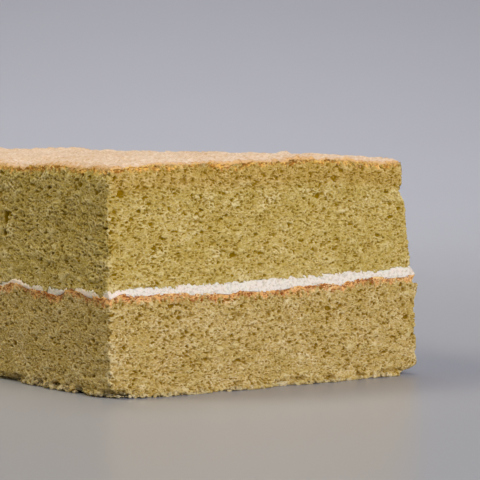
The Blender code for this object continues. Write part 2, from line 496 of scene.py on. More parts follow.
def side_band(cells, finer):
    """The four sides of a unit box, cut into cells that are finer where the camera looks closest,
    with a ring and a single face closing its top and its underside."""
    bm = bmesh.new()
    bmesh.ops.create_cube(bm, size=1.0)
    caps = [f for f in bm.faces if abs(f.normal.z) > 0.5]
    bmesh.ops.delete(bm, geom=caps, context="FACES_ONLY")
    for axis, count in enumerate(cells):
        cuts = {"cuts": count - 1, "use_grid_fill": True}
        bmesh.ops.subdivide_edges(bm, edges=edges_along(bm, axis), **cuts)
    limit = SHOWN_SIDE / LENGTH - 0.5
    shown = []
    for face in bm.faces:
        middle = face.calc_center_median()
        if middle.y < -UNIT_SIDE or (middle.x < -UNIT_SIDE and middle.y < limit):
            shown.append(face)
    edges = list(dict.fromkeys(edge for face in shown for edge in face.edges))
    bmesh.ops.subdivide_edges(bm, edges=edges, cuts=finer - 1, use_grid_fill=True)
    for level in (-0.5, 0.5):
        rim = [e for e in bm.edges if e.is_boundary and abs(e.verts[0].co.z - level) < 0.01]
        ring = bmesh.ops.extrude_edge_only(bm, edges=rim)["geom"]
        verts = [v for v in ring if isinstance(v, bmesh.types.BMVert)]
        bmesh.ops.scale(bm, vec=CAP_SHARE, verts=verts)
        closing = [e for e in ring if isinstance(e, bmesh.types.BMEdge) and e.is_boundary]
        bmesh.ops.holes_fill(bm, edges=closing, sides=0)
    bmesh.ops.recalc_face_normals(bm, faces=bm.faces)
    return bm


def lid(cells, finer):
    """A unit box whose top is cut into cells, finer near the two shown edges, over a single
    closing face."""
    bm = bmesh.new()
    bmesh.ops.create_cube(bm, size=1.0)
    for axis, count in zip((0, 1), cells):
        edges = edges_along(bm, axis)
        bmesh.ops.subdivide_edges(bm, edges=edges, cuts=count - 1, use_grid_fill=True)
    under = [f for f in bm.faces if f.normal.z < -0.5]
    bmesh.ops.dissolve_faces(bm, faces=under)
    edges = {}
    for face in bm.faces:
        middle = face.calc_center_median()
        from_end, from_side = (middle.y + 0.5) * LENGTH, (middle.x + 0.5) * WIDTH
        on_side = from_side < LID_FINE_REACH and from_end < SHOWN_SIDE
        near = from_end < LID_FINE_REACH or on_side
        if near and face.normal.z > 0.5:
            edges.update(dict.fromkeys(face.edges))
    bmesh.ops.subdivide_edges(bm, edges=list(edges), cuts=finer - 1, use_grid_fill=True)
    bmesh.ops.recalc_face_normals(bm, faces=bm.faces)
    return bm


def piece(name, bm, material, slot, *nodes):
    """A finished piece that rides on the cake and stands for its solids."""
    mesh = bpy.data.meshes.new(name)
    bm.to_mesh(mesh)
    bm.free()
    mesh.materials.append(material)
    mesh.shade_smooth()
    made = bpy.data.objects.new(name, mesh)
    bpy.context.scene.collection.objects.link(made)
    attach(made, "root")
    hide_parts(*nodes)
    return made


def layered(points, ripples):
    """The sum of several ripples, each with its height, the width of its rises and its seed."""
    return sum(high * MM * ripple(points, wide * MM, seed) for high, wide, seed in ripples)


def pushed(points, distance, size, seed):
    """Points pushed about unevenly, which pulls round shapes crooked."""
    ways = [ripple(points, size, seed + number) for number in range(3)]
    return points + distance * np.column_stack(ways)


def named_pits(points, pits):
    """Depth of the larger pits, each a bowl with its own width, height and depth in mm."""
    depth = np.zeros(len(points))
    corner = np.array((-WIDTH / 2, -LENGTH / 2, 0.0))
    for *place, wide, high, deep in pits:
        off = (points - corner) / MM - np.array(place)
        reach = (PIT_REACH, wide, high) if place[0] == 0 else (wide, PIT_REACH, high)
        spread = np.sum((off / reach) ** 2, axis=1)
        depth = np.maximum(depth, deep * MM * np.maximum(1 - spread, 0.0) ** 0.6)
    return depth


def laps(x, y):
    """How far the upper sheet's crumb laps down over the cream, and stands out from the side."""
    from_corner = (y + LENGTH / 2) / MM
    down, out = np.zeros(len(y)), np.zeros(len(y))
    near = falling(x + WIDTH / 2, LAP_REACH)
    for place, half, reach, proud in LAPS:
        share = np.clip(1 - abs(from_corner - place) / half, 0.0, 1.0)
        down += reach * MM * share
        out += proud * MM * np.minimum(2 * share, 1.0)
    return down * near, out * near


def worn_corners(points, side, reach):
    """The points with the bar's upright corners worn round over a reach along X and Y, which is
    half as far along X at the +X side."""
    x, y = points[:, 0], points[:, 1]
    across, along = WIDTH / 2 - abs(x), LENGTH / 2 - abs(y)
    on_end = along < across
    reach_x = np.where(x > 0, 0.5 * reach[0], reach[0])
    share = np.where(on_end, across / reach_x, along / reach[1])
    turn = np.clip(1 - np.maximum(share, 0.0), 0.0, 1.0) * math.pi / 4
    turn = np.where(on_end, turn, math.pi / 2 - turn)
    to_side, to_end = reach_x * (1 - np.sin(turn)), reach[1] * (1 - np.cos(turn))
    inward_x = np.where(on_end, to_side - across, to_side)
    inward_y = np.where(on_end, to_end, to_end - along)
    worn = side * (share < 1)
    moved = points.copy()
    moved[:, 0] -= np.sign(x) * inward_x * worn
    moved[:, 1] -= np.sign(y) * inward_y * worn
    return moved


def at_corner(points, listed, side):
    """How far points near one of the near end's upright corners move out along X."""
    out = np.interp(points[:, 2] / MM, *zip(*listed)) * MM
    to_side = WIDTH / 2 - inset(side, points[:, 2]) - abs(points[:, 0])
    one_side = (points[:, 0] > 0) == (side == "far_side")
    spread = falling(to_side, CORNER_SPREAD) * one_side
    return out * spread * falling(points[:, 1] + LENGTH / 2, 2 * CORNER_SPREAD)


def uneven_corners(points):
    """How far points near the near end's upright corners move along X."""
    return at_corner(points, FAR_CORNER, "far_side") - at_corner(points, NEAR_CORNER, "near_side")


def foot_spread(points):
    """How far the torn foot spreads out beyond the sides of the bar."""
    to_near = points[:, 1] + LENGTH / 2
    to_left = points[:, 0] + WIDTH / 2
    near = np.interp(to_left / MM, *zip(*NEAR_FOOT))
    left = np.interp(to_near / MM, *zip(*SIDE_FOOT))
    left = np.where(to_left < FOOT_SIDE_REACH, left, 0.0)
    spread = np.where(to_near < to_left, near, left)
    height = np.clip(1 - points[:, 2] / FOOT_TOP, 0.0, 1.0)
    return spread * MM * height**1.3


def bulge_at(height, shape):
    """A bulge at a level, as deep as its shape says there, and fading above and below it."""
    level, half, deep = shape
    return deep * np.exp(-(((height - level) / half) ** 2))


def from_upright(points):
    """Distance of points on the sides from the nearest upright corner."""
    along = LENGTH / 2 - abs(points[:, 1])
    across = WIDTH / 2 - abs(points[:, 0])
    return np.maximum(along, across)


def crumb_relief(points, normals, share_up, sheet_height, sizes, seed):
    """How deep the torn pores of a sponge reach below its cut sides. They are flatter low in the
    sheet, where its own weight pressed them. Returns the points as the pores saw them too."""
    pressed = sizes.flat_low - (sizes.flat_low - sizes.flat_high) * share_up / 2
    spot = points.copy()
    spot[:, 1] *= 0.8
    spot[:, 2] = share_up * sheet_height * pressed
    crooked = pushed(spot, 0.45 * MM, 1.3 * MM, seed + 50)
    crooked = pushed(crooked, 0.18 * MM, 0.5 * MM, seed + 60)
    crowd = 0.72 + 0.58 * share_up + 0.35 * ripple(spot, 7.0 * MM, seed + 70)
    depth = np.zeros(len(points))
    for number, (size, least, most, chance, kept) in enumerate(BUBBLE_FAMILIES):
        found = bubbles(crooked, normals, size, (least, most), chance * crowd, seed + number)
        depth = np.maximum(depth, found * kept)
    return depth * (1 + 0.35 * ripple(crooked, 0.6 * MM, seed + 71)), spot


# Materials


def add(tree, kind, inputs=None, out=0, **settings):
    """Adds a node with its settings, and returns one of its outputs. The inputs are values, or
    outputs to link from."""
    made = tree.nodes.new("ShaderNode" + kind)
    for name, value in settings.items():
        setattr(made, name, value)
    for name, value in (inputs or {}).items():
        if isinstance(value, bpy.types.NodeSocket):
            tree.links.new(value, made.inputs[name])
        else:
            made.inputs[name].default_value = value
    return made.outputs[out]


def blank_material(name, sockets):
    """A material whose shader has its sockets set, with what adds nodes to it."""
    material = bpy.data.materials.new(name)
    material.use_nodes = True
    shader = material.node_tree.nodes["Principled BSDF"]
    for socket, value in sockets.items():
        shader.inputs[socket].default_value = value
    return material, functools.partial(add, material.node_tree)


def finished(material, colour, bump=None):
    """The material with its colour and bump linked to its shader."""
    shader = material.node_tree.nodes["Principled BSDF"]
    material.node_tree.links.new(colour, shader.inputs["Base Color"])
    if bump:
        material.node_tree.links.new(bump, shader.inputs["Normal"])
    return material


def opaque(colours):
    """Colours with the fourth number that a node wants."""
    return [(*colour, 1.0) for colour in colours]


def crumb_material(name, colours, brown, band, flatness, glow_depth):
    """Baked chiffon crumb: a foam of egg white set in the oven and torn by the knife. It gives a
    pale web of cell walls over membranes and open cells that are deeper, with a painted
    highlight on what stands proud and painted shade, darker and more saturated, in the pits,
    open cells and torn hollows. It has the tea's hue in small blotches, and a browned band
    under its crust, band millimetres high. Light wanders about glow_depth into the foam."""
    pale, middle, deep = opaque(colours)
    skin, crust, dark_crust_and_pit_shade = opaque(brown)
    foam = {
        "Roughness": 0.8,
        "IOR": 1.4,
        "Specular IOR Level": 0.06,
        "Subsurface Weight": 0.5,
        "Subsurface Radius": (1.0, 0.85, 0.55),
        "Subsurface Scale": glow_depth,
    }
    material, node = blank_material(name, foam)
    place = node("TexCoord", out="Object")
    flat = node("Mapping", {"Vector": place, "Scale": (0.9, 0.75, flatness)})

    # Torn cell walls, and the open cells between them, which take painted shade
    warp = node("TexNoise", {"Vector": flat, "Scale": 1 / (0.8 * MM), "Detail": 2.0}, "Color")
    crooked = node("VectorMath", {0: warp, 1: (0.9 * MM,) * 3, 2: flat}, operation="MULTIPLY_ADD")
    cells = {"Vector": crooked, "Scale": 1 / (0.95 * MM)}
    to_wall = node("TexVoronoi", cells, "Distance", feature="DISTANCE_TO_EDGE")
    cell = node("TexVoronoi", cells, "Color", feature="F1")
    kind = node("SeparateColor", {0: cell})
    wall = node("MapRange", {0: to_wall, 1: 0.04, 2: 0.28, 3: 1.0, 4: 0.0})
    opened = node("MapRange", {0: kind, 1: 0.5, 2: 0.9})
    shaded_hollow = node("Math", {0: 1.0, 1: wall}, operation="SUBTRACT")
    hole = node("Math", {0: opened, 1: shaded_hollow}, operation="MULTIPLY")

    # The pale web: walls where the grain keeps them, and a painted highlight on all that stands proud
    grain_size = {"Vector": flat, "Scale": 1 / (0.7 * MM), "Detail": 1.5, "Roughness": 0.5}
    fine = node("TexNoise", grain_size)
    grain = node("MapRange", {0: fine, 1: 0.36, 2: 0.64})
    woven = node("Math", {0: wall, 1: grain}, operation="MULTIPLY")
    # Painted highlight: what stands proud of the torn surface is coloured paler and less saturated
    proud = node("Attribute", out="Fac", attribute_name="proud_highlight_mm")
    crest = node("MapRange", {0: proud, 1: 0.03, 2: 0.12})
    web_and_highlight = node("Math", {0: woven, 1: crest}, operation="MAXIMUM")
    webbed_and_highlit = node("Mix", {0: web_and_highlight, 6: middle, 7: pale}, 2, data_type="RGBA")
    # Painted shade: pits, open cells and hollows of the torn web take the deep colour, darker and more
    # saturated the deeper they are
    pit = node("Attribute", out="Fac", attribute_name="pit_shade_mm")
    pit_shade_share = node("MapRange", {0: pit, 1: 0.06, 2: 0.5})
    dark = node("Math", {0: pit_shade_share, 1: hole}, operation="MAXIMUM")
    inside = node("Mix", {0: dark, 6: webbed_and_highlit, 7: deep}, 2, data_type="RGBA")

    # Small and wide blotches of the tea's hue
    blotch = node("TexNoise", {"Vector": flat, "Scale": 1 / (2.6 * MM), "Detail": 2.0})
    wide = node("TexNoise", {"Vector": place, "Scale": 1 / (7.0 * MM), "Detail": 1.0})
    both = node("Math", {0: blotch, 1: wide}, operation="ADD")
    tint = node("MapRange", {0: both, 1: 0.78, 2: 1.22})
    light_tone, deep_tone = opaque(((1.07, 1.08, 1.2), (0.92, 0.9, 0.76)))
    tone = node("Mix", {0: tint, 6: light_tone, 7: deep_tone}, 2, data_type="RGBA")
    times = {"data_type": "RGBA", "blend_type": "MULTIPLY"}
    tinted = node("Mix", {0: 1.0, 6: inside, 7: tone}, 2, **times)
    below = node("Attribute", out="Fac", attribute_name="below_crust_mm")
    gilt = node("Attribute", out="Fac", attribute_name="gilt")
    gilded = node("Mix", {0: gilt, 6: tinted, 7: (0.93, 0.85, 0.74, 1.0)}, 2, **times)

    # The browned band under the crust, with a ragged lower edge and darker clumps. Its pits take painted
    # shade, and what stands proud a painted highlight
    downward = node("Mapping", {"Vector": place, "Scale": (1.0, 1.0, 0.5)})
    tear_size = {"Vector": downward, "Scale": 1 / (1.5 * MM), "Detail": 3.0, "Roughness": 0.7}
    tear = node("TexNoise", tear_size)
    torn = node("MapRange", {0: tear, 1: 0.3, 2: 0.7, 3: -band, 4: band})
    ragged = node("Math", {0: below, 1: torn}, operation="ADD")
    browned = node("MapRange", {0: ragged, 1: band * 1.35, 2: band * 0.5})
    glow = node("Mix", {0: web_and_highlight, 6: crust, 7: skin}, 2, data_type="RGBA")
    clump = node("TexNoise", {"Vector": place, "Scale": 1 / (4.5 * MM), "Detail": 1.0})
    crowded = node("Math", {0: clump, 1: 0.8, 2: fine}, operation="MULTIPLY_ADD")
    mottle = node("MapRange", {0: crowded, 1: 0.93, 2: 1.0, 4: 0.95})
    clumps_and_shaded_pits = node("Math", {0: dark, 1: mottle}, operation="MAXIMUM")
    toast = node("Mix", {0: clumps_and_shaded_pits, 6: glow, 7: dark_crust_and_pit_shade}, 2, data_type="RGBA")
    colour = node("Mix", {0: browned, 6: gilded, 7: toast}, 2, data_type="RGBA")
    raised = node("Math", {0: web_and_highlight, 1: hole}, operation="SUBTRACT")
    bump = node("Bump", {"Height": raised, "Strength": 0.6, "Distance": 0.14 * MM})
    return finished(material, colour, bump)


def crust_material(colours):
    """Browned top skin: dried egg foam toasted in the oven. It is matte and peach-coloured, with
    a fine grain, soft darker drifts, and orange-brown where the knife left its edge bare."""
    pale, warm, edge = opaque(colours)
    material, node = blank_material("baked_crust_skin", {"Roughness": 0.7, "IOR": 1.4})
    place = node("TexCoord", out="Object")
    grain_size = {"Vector": place, "Scale": 1 / (0.75 * MM), "Detail": 3.0, "Roughness": 0.7}
    fine = node("TexNoise", grain_size)
    wide = node("TexNoise", {"Vector": place, "Scale": 1 / (14.0 * MM), "Detail": 2.0})
    grain = node("MapRange", {0: fine, 1: 0.42, 2: 0.62})
    drift = node("MapRange", {0: wide, 1: 0.35, 2: 0.7, 4: 0.4})
    to_edge = node("Attribute", out="Fac", attribute_name="to_edge_mm")
    baked = node("MapRange", {0: to_edge, 1: 2.4, 2: 0.0, 4: 0.7})
    speckled = node("Math", {0: grain, 1: 1.0, 2: drift}, operation="MULTIPLY_ADD")
    warmth = node("Math", {0: speckled, 1: baked}, operation="ADD")
    past_warm = {"data_type": "RGBA", "clamp_factor": False}
    skin = node("Mix", {0: warmth, 6: pale, 7: warm}, 2, **past_warm)
    ragged = node("Math", {0: fine, 1: 3.5, 2: to_edge}, operation="MULTIPLY_ADD")
    toasted = node("MapRange", {0: ragged, 1: 2.3, 2: 1.5})
    colour = node("Mix", {0: toasted, 6: skin, 7: edge}, 2, data_type="RGBA")
    bump = node("Bump", {"Height": fine, "Strength": 1.0, "Distance": 0.6 * MM})
    return finished(material, colour, bump)


def cream_material(colours):
    """Whipped cream, spread and then cut: nearly white and faintly glossy, with a soft fibrous
    drag where the knife pulled through it, painted shade in the drag's hollows, and yellower
    where it is thin and has soaked in."""
    white, shade, steeped = opaque(colours)
    whipped = {
        "Roughness": 0.5,
        "IOR": 1.4,
        "Subsurface Weight": 0.2,
        "Subsurface Scale": 1.5 * MM,
    }
    material, node = blank_material("whipped_cream", whipped)
    place = node("TexCoord", out="Object")
    drag_size = {"Vector": place, "Scale": 1 / (0.7 * MM), "Detail": 3.0, "Roughness": 0.6}
    soft = node("TexNoise", drag_size)
    # Painted shade: where the drag's bump sinks, the cream takes its darker shade colour
    shaded_hollow = node("MapRange", {0: soft, 1: 0.48, 2: 0.74})
    colour = node("Mix", {0: shaded_hollow, 6: white, 7: shade}, 2, data_type="RGBA")
    thin = node("Attribute", out="Fac", attribute_name="thin")
    soaked = node("Mix", {0: thin, 6: colour, 7: steeped}, 2, data_type="RGBA")
    bump = node("Bump", {"Height": soft, "Strength": 0.9, "Distance": 0.3 * MM})
    return finished(material, soaked, bump)


def table_material(grey):
    """Matte acrylic sheet: a smooth grey with a faint haze, which mirrors the cake softly."""
    matte = {"Roughness": 0.32, "IOR": 1.45}
    material, node = blank_material("matte_acrylic_table", matte)
    place = node("TexCoord", out="Object")
    haze = node("TexNoise", {"Vector": place, "Scale": 8.0, "Detail": 1.0})
    light, dark = opaque((grey, [channel * 0.97 for channel in grey]))
    tone = node("Mix", {0: haze, 6: light, 7: dark}, 2, data_type="RGBA")
    return finished(material, tone)


# Settings


def length_setting(name, description, millimetres):
    """A length that can be changed in the panel."""
    return bpy.props.FloatProperty(
        name=name, description=description, default=millimetres * MM, unit="LENGTH"
    )


def colour_setting(name, description, text):
    """A colour that can be picked in the panel."""
    return bpy.props.FloatVectorProperty(
        name=name, description=description, subtype="COLOR", size=3, default=from_hex(text)
    )


class ChiffonSizes(bpy.types.PropertyGroup):
    """Sizes of the crumb, cream and foot."""

    cell: length_setting("Mesh cell", "Size of the mesh cells on the sides that face away", 0.8)
    finer: bpy.props.IntProperty(
        name="Finer cells",
        description="How many times finer the cells are where the camera looks closest",
        default=3,
    )
    flat_low: bpy.props.FloatProperty(
        name="Flat pores",
        description="How many times wider than high the pores are low in a sheet",
        default=2.0,
    )
    flat_high: bpy.props.FloatProperty(
        name="Round pores",
        description="How many times wider than high the pores are under the crust",
        default=1.35,
    )
    roughness: length_setting("Torn surface", "Height of the torn web between the pores", 0.07)
    corner: length_setting("Broken corners", "How far the upright corners break in and out", 0.7)
    undercut: length_setting("Foot undercut", "How far the foot is torn in under the fringe", 1.0)
    cream_proud: length_setting("Proud cream", "How far the cream stands out past the cut", 0.12)
    fringe: length_setting("Torn crumb", "Largest torn crumb hanging from the foot", 1.1)


class ChiffonColours(bpy.types.PropertyGroup):
    """Colours of the crumb, crust and cream."""

    # The web colours are also the painted highlight on what stands proud, and the pit colours the
    # painted shade in pits, open cells and hollows
    upper_web_and_highlight: colour_setting("Upper web", "Torn web of the upper crumb", "#C4B17D")
    upper_middle: colour_setting("Upper crumb", "Body of the upper crumb", "#AC944D")
    upper_pit_shade: colour_setting("Upper pits", "Pits of the upper crumb", "#826404")
    lower_web_and_highlight: colour_setting("Lower web", "Torn web of the lower crumb", "#C6B386")
    lower_middle: colour_setting("Lower crumb", "Body of the lower crumb", "#AC9152")
    lower_pit_shade: colour_setting("Lower pits", "Pits of the lower crumb", "#7E5E0E")
    crust_pale: colour_setting("Crust", "Pale skin of the upper crust", "#E4CEBD")
    crust_warm: colour_setting("Crust drifts", "Warmer parts of the upper crust", "#D1AE8E")
    # The rim's skin colour is also its painted highlight, and its pit colour is both its darker toasted
    # clumps and the painted shade in its pits
    rim_light: colour_setting("Rim skin", "Golden edge of the upper crust", "#DBAC6A")
    rim_gold: colour_setting("Rim crumb", "Toasted crumb under the upper crust", "#DDA853")
    rim_clumps_and_pit_shade: colour_setting("Rim pits", "Pits in the toasted rim", "#98601F")
    # The torn web colour is also the painted highlight on the crumbs' bulges
    torn_web_and_highlight: colour_setting("Torn web", "Web of the torn crumbs", "#BFAC84")
    torn_middle: colour_setting("Torn crumb", "Body of the torn crumbs", "#AA9462")
    # The band's web colour is also its painted highlight, and its pit colour is both its darker toasted
    # clumps and the painted shade in its pits
    band_web_and_highlight: colour_setting("Band web", "Torn web of the lower crust", "#E6BC86")
    band_orange: colour_setting("Band", "Toasted crumb of the lower crust", "#D59A58")
    band_clumps_and_pit_shade: colour_setting("Band pits", "Pits in the lower crust", "#8E4E22")
    cream: colour_setting("Cream", "Whipped cream", "#DACFC4")
    # Painted shade in the hollows of the cream's drag
    cream_shade: colour_setting("Cream hollows", "Hollows of the whipped cream", "#AE9E8A")
    cream_soaked: colour_setting("Soaked cream", "Cream where it is thin", "#E8D2C4")
    floor: colour_setting("Floor", "Smooth grey table and backdrop", "#A0A0AA")


# Pieces


def cells_for(height, sizes):
    """How many cells a band of the bar has along X, Y and Z."""
    return tuple(max(2, round(length / sizes.cell)) for length in (WIDTH, LENGTH, height))


def band_points(unit, low, high, z_low, z_high):
    """Places a unit box's points between two height functions of the bar."""
    across, along, up = (unit + 0.5).T
    level = z_low + (z_high - z_low) * up
    x, y = plan_point(across, along, level)
    bottom, top = low(x, y), high(x, y)
    return np.column_stack((x, y, bottom + (top - bottom) * up)), bottom, top


def is_side(unit):
    """True for the points of a unit box's sides, and false for those of its closing rings."""
    return np.maximum(abs(unit[:, 0]), abs(unit[:, 1])) > UNIT_SIDE


class ChiffonSponge:
    """What both sponge operators share."""

    bl_options = {"REGISTER", "UNDO"}

    def sponge(self, sizes, name, node, levels, heights, material, pits, worn, looks, seed):
        """Builds a sponge with its pores and its torn web. Looks are how torn and how open the
        -X side is beside the near end, and how golden the crumb gets under the crust."""
        height = levels[1] - levels[0]
        bm = side_band(cells_for(height, sizes), sizes.finer)
        mesh = piece(name, bm, material, node, node).data
        unit = vertex_numbers(mesh, "co")
        side = is_side(unit)
        share = unit[:, 2] + 0.5
        points, _, top = band_points(unit, *heights, *levels)
        points = worn_corners(points, side, worn)
        points[:, 0] += uneven_corners(points) * side
        move_vertices(mesh, points)
        normals = vertex_numbers(mesh, "normal")
        on_left = normals[:, 0] < -FACING
        side_torn, side_open, gilt = looks

        # Pores and pits, shallower in the crust
        depth, spot = crumb_relief(points, normals, share, height, sizes, seed)
        crooked = pushed(points, 0.4 * MM, 1.5 * MM, seed + 80)
        bowls = named_pits(crooked, pits) * (0.75 + 0.4 * ripple(points, 0.7 * MM, seed + 81))
        below = top - points[:, 2]
        skin = np.clip(below / SKIN_DEPTH, 0.0, 1.0)
        depth = np.maximum(depth, bowls) * side * (0.35 + 0.65 * skin)
        depth *= np.where(on_left, side_open, 1.0)

        # The torn web between them, then the sides' own waves and their broken corners
        torn = np.where(on_left, side_torn, 1.0) * sizes.roughness
        rough = torn * ripple(spot, 0.8 * MM, seed + 11)
        rough += 2.4 * torn * ripple(spot, 2.3 * MM, seed + 12)
        corner = falling(from_upright(points), CORNER_SOFT)
        # Painted highlight: the upright corners count 0.1 mm prouder in the colour, which paints them
        # paler
        store(mesh, "proud_highlight_mm", (rough - depth) / MM + 0.1 * corner)
        # Painted shade: the hollows of the torn web count as shallow pits, which paints them darker
        shaded_hollow = 0.6 * np.maximum(-rough, 0.0) * side
        store(mesh, "pit_shade_mm", (depth + shaded_hollow) / MM)
        rough += 3.6 * torn * ripple(points, 5.0 * MM, seed + 13)
        uneven = ripple(points, 2.4 * MM, seed + 14) + 0.7 * ripple(points, 1.1 * MM, seed + 15)
        rough += sizes.corner * corner * uneven * np.where(points[:, 0] > 0, 1.5, 1.0)
        normals[:, 2] *= side
        points += normals * ((rough - depth) * side)[:, None]

        # The cells are pushed about along the side, so that no grid shows
        step = sizes.cell / sizes.finer
        jitter = pushed(points, 0.45 * step, 0.8 * step, seed + 90) - points
        jitter -= normals * np.einsum("ij,ij->i", jitter, normals)[:, None]
        inside = side * (share > 0.02) * (share < 0.98)
        points += jitter * inside[:, None]
        store(mesh, "below_crust_mm", below / MM)
        on_end = LENGTH / 2 - abs(points[:, 1]) < WIDTH / 2 - abs(points[:, 0])
        golden = np.clip((GILT_DEPTH - below) / GILT_FADE, 0.0, 1.0)
        store(mesh, "gilt", on_end * golden * gilt)
        return mesh, points, normals, side, below


class MESH_OT_chiffon_lower_sponge(ChiffonSponge, bpy.types.Operator):
    """Builds the lower sponge with its pores, its browned crust and its torn foot"""

    bl_idname = "mesh.chiffon_lower_sponge"
    bl_label = "Lower Sponge"

    def execute(self, context):
        sizes = context.scene.chiffon_sizes
        colours = context.scene.chiffon_colours
        material = crumb_material(
            "baked_crumb_pale_green",
            (colours.lower_web_and_highlight, colours.lower_middle, colours.lower_pit_shade),
            (colours.band_web_and_highlight, colours.band_orange, colours.band_clumps_and_pit_shade),
            band=1.5,
            flatness=1.7,
            glow_depth=1.8 * MM,
        )
        mesh, points, normals, side, below = self.sponge(
            sizes,
            "lower_sponge",
            "sponge_lower",
            levels=(0.0, LOWER_HEIGHT),
            heights=(underside, lower_crust),
            material=material,
            pits=LOWER_PITS,
            worn=LOWER_CORNER,
            looks=(1.0, 0.8, 0.0),
            seed=100,
        )
        self.crust_edge(points, normals, side, below)
        self.foot(mesh, points, normals, side, sizes.undercut)
        move_vertices(mesh, points)
        return {"FINISHED"}

    def crust_edge(self, points, normals, side, below):
        """The edge of the lower crust, which stands a little proud under the cream."""
        rim = falling(below, 0.5 * MM) * side
        on_left = normals[:, 0] < -FACING
        points[:, 2] += np.where(on_left, 0.4, 0.25) * MM * rim * ripple(points, 0.7 * MM, 134)
        proud = np.where(on_left, 0.3, 0.12) * MM
        points += normals * (proud * rim)[:, None]

    def foot(self, mesh, points, normals, side, undercut):
        """The foot: spread out, torn in underneath, lumpy, and notched above the table; the notches get
        painted shade.
        """
        height = points[:, 2].copy()
        spread = foot_spread(points) * (1 + 0.35 * ripple(points, 3.0 * MM, 130))
        foot = falling(height, 0.6 * MM)
        torn = np.clip(0.5 + ripple(points * (1, 1, 0.2), 2.4 * MM, 131), 0.0, 1.0)
        notch = np.clip(2.2 * ripple(points * (1, 1, 0.4), 1.8 * MM, 135) + 0.1, 0.0, 1.0)
        notch *= np.clip(0.7 + 0.8 * ripple(points, 0.7 * MM, 137), 0.0, 1.0) * side
        wander = 0.5 * MM * ripple(points * (1, 1, 0), 3.0 * MM, 138)
        notch *= bulge_at(height - wander, NOTCH)
        # Painted shade: the notches add to the pit depth that the material darkens
        pits = np.empty(len(points), np.float32)
        kept = mesh.attributes["pit_shade_mm"].data
        kept.foreach_get("value", pits)
        kept.foreach_set("value", pits + (0.3 * notch / MM).astype("f"))
        heap = np.clip(2.4 * ripple(points * (1, 1, 0.5), 2.6 * MM, 133), -0.6, 1.0)
        lumps = bulge_at(height, LUMP) * heap
        lumps += 0.3 * MM * falling(height, 1.5 * MM) * ripple(points, 1.1 * MM, 136)
        on_end = abs(normals[:, 1]) > FACING
        torn_in = undercut * foot * torn * np.where(on_end, 0.3, 1.0) + notch
        points += normals * ((spread + lumps - torn_in) * side)[:, None]
        lifted = np.where(on_end, 0.15, 0.3) * MM * ripple(points, 1.4 * MM, 132)
        points[:, 2] += lifted * foot * side
        points[:, 2] = np.maximum(points[:, 2], 0.0)


class MESH_OT_chiffon_upper_sponge(ChiffonSponge, bpy.types.Operator):
    """Builds the upper sponge with its pores and the ragged rim under its crust"""

    bl_idname = "mesh.chiffon_upper_sponge"
    bl_label = "Upper Sponge"

    def execute(self, context):
        colours = context.scene.chiffon_colours
        material = crumb_material(
            "baked_crumb_green_tea",
            (colours.upper_web_and_highlight, colours.upper_middle, colours.upper_pit_shade),
            (colours.rim_light, colours.rim_gold, colours.rim_clumps_and_pit_shade),
            band=1.2,
            flatness=1.5,
            glow_depth=1.8 * MM,
        )
        mesh, points, normals, side, below = self.sponge(
            context.scene.chiffon_sizes,
            "upper_sponge",
            "sponge_upper",
            levels=(CREAM_HEIGHT, UPPER_HEIGHT),
            heights=(cream_top, upper_crust),
            material=material,
            pits=UPPER_PITS,
            worn=UPPER_CORNER,
            looks=(1.3, 1.0, 1.0),
            seed=200,
        )
        worn = np.clip(1 - below / RIM_DEPTH, 0.0, 1.0) ** 1.4
        points -= normals * (RIM_ROUND * worn * side)[:, None]
        self.rim(points, side, below)
        self.hem(points, normals, side)
        points[:, 2] -= np.where(side | (below > 5 * MM), 0.0, CAP_DROP)
        move_vertices(mesh, points)
        return {"FINISHED"}

    def rim(self, points, side, below):
        """The rim under the crust: teeth, and here and there a spike."""
        points[:, 2] -= 0.1 * MM * falling(below, 1.2 * MM) * side
        spike = np.clip(3 * ripple(points * (1, 1, 0.3), 1.2 * MM, 236) - 1.5, 0.0, 1.0)
        rim = falling(below, 0.6 * MM) * side
        points[:, 2] += (layered(points, TEETH) + SPIKE_HEIGHT * spike) * rim

    def hem(self, points, normals, side):
        """The hem, which hangs ragged over the cream and laps down over it in places."""
        x, y = points[:, 0], points[:, 1]
        hem = falling(points[:, 2] - cream_top(x, y), 0.7 * MM) * side
        down, out = laps(x, y)
        ragged = layered(points * (1, 0.45, 1), HEM_RIPPLES)
        on_end = abs(normals[:, 1]) > FACING
        drop = HEM_DROP + END_HEM_DROP * on_end * (1 + ripple(points, 9.0 * MM, 235))
        drop += rises(x + WIDTH / 2, NEAR_HEM_DROPS) * on_end
        points[:, 2] -= hem * (down + drop - ragged)
        points += normals * (hem * (out + 0.15 * MM * on_end))[:, None]


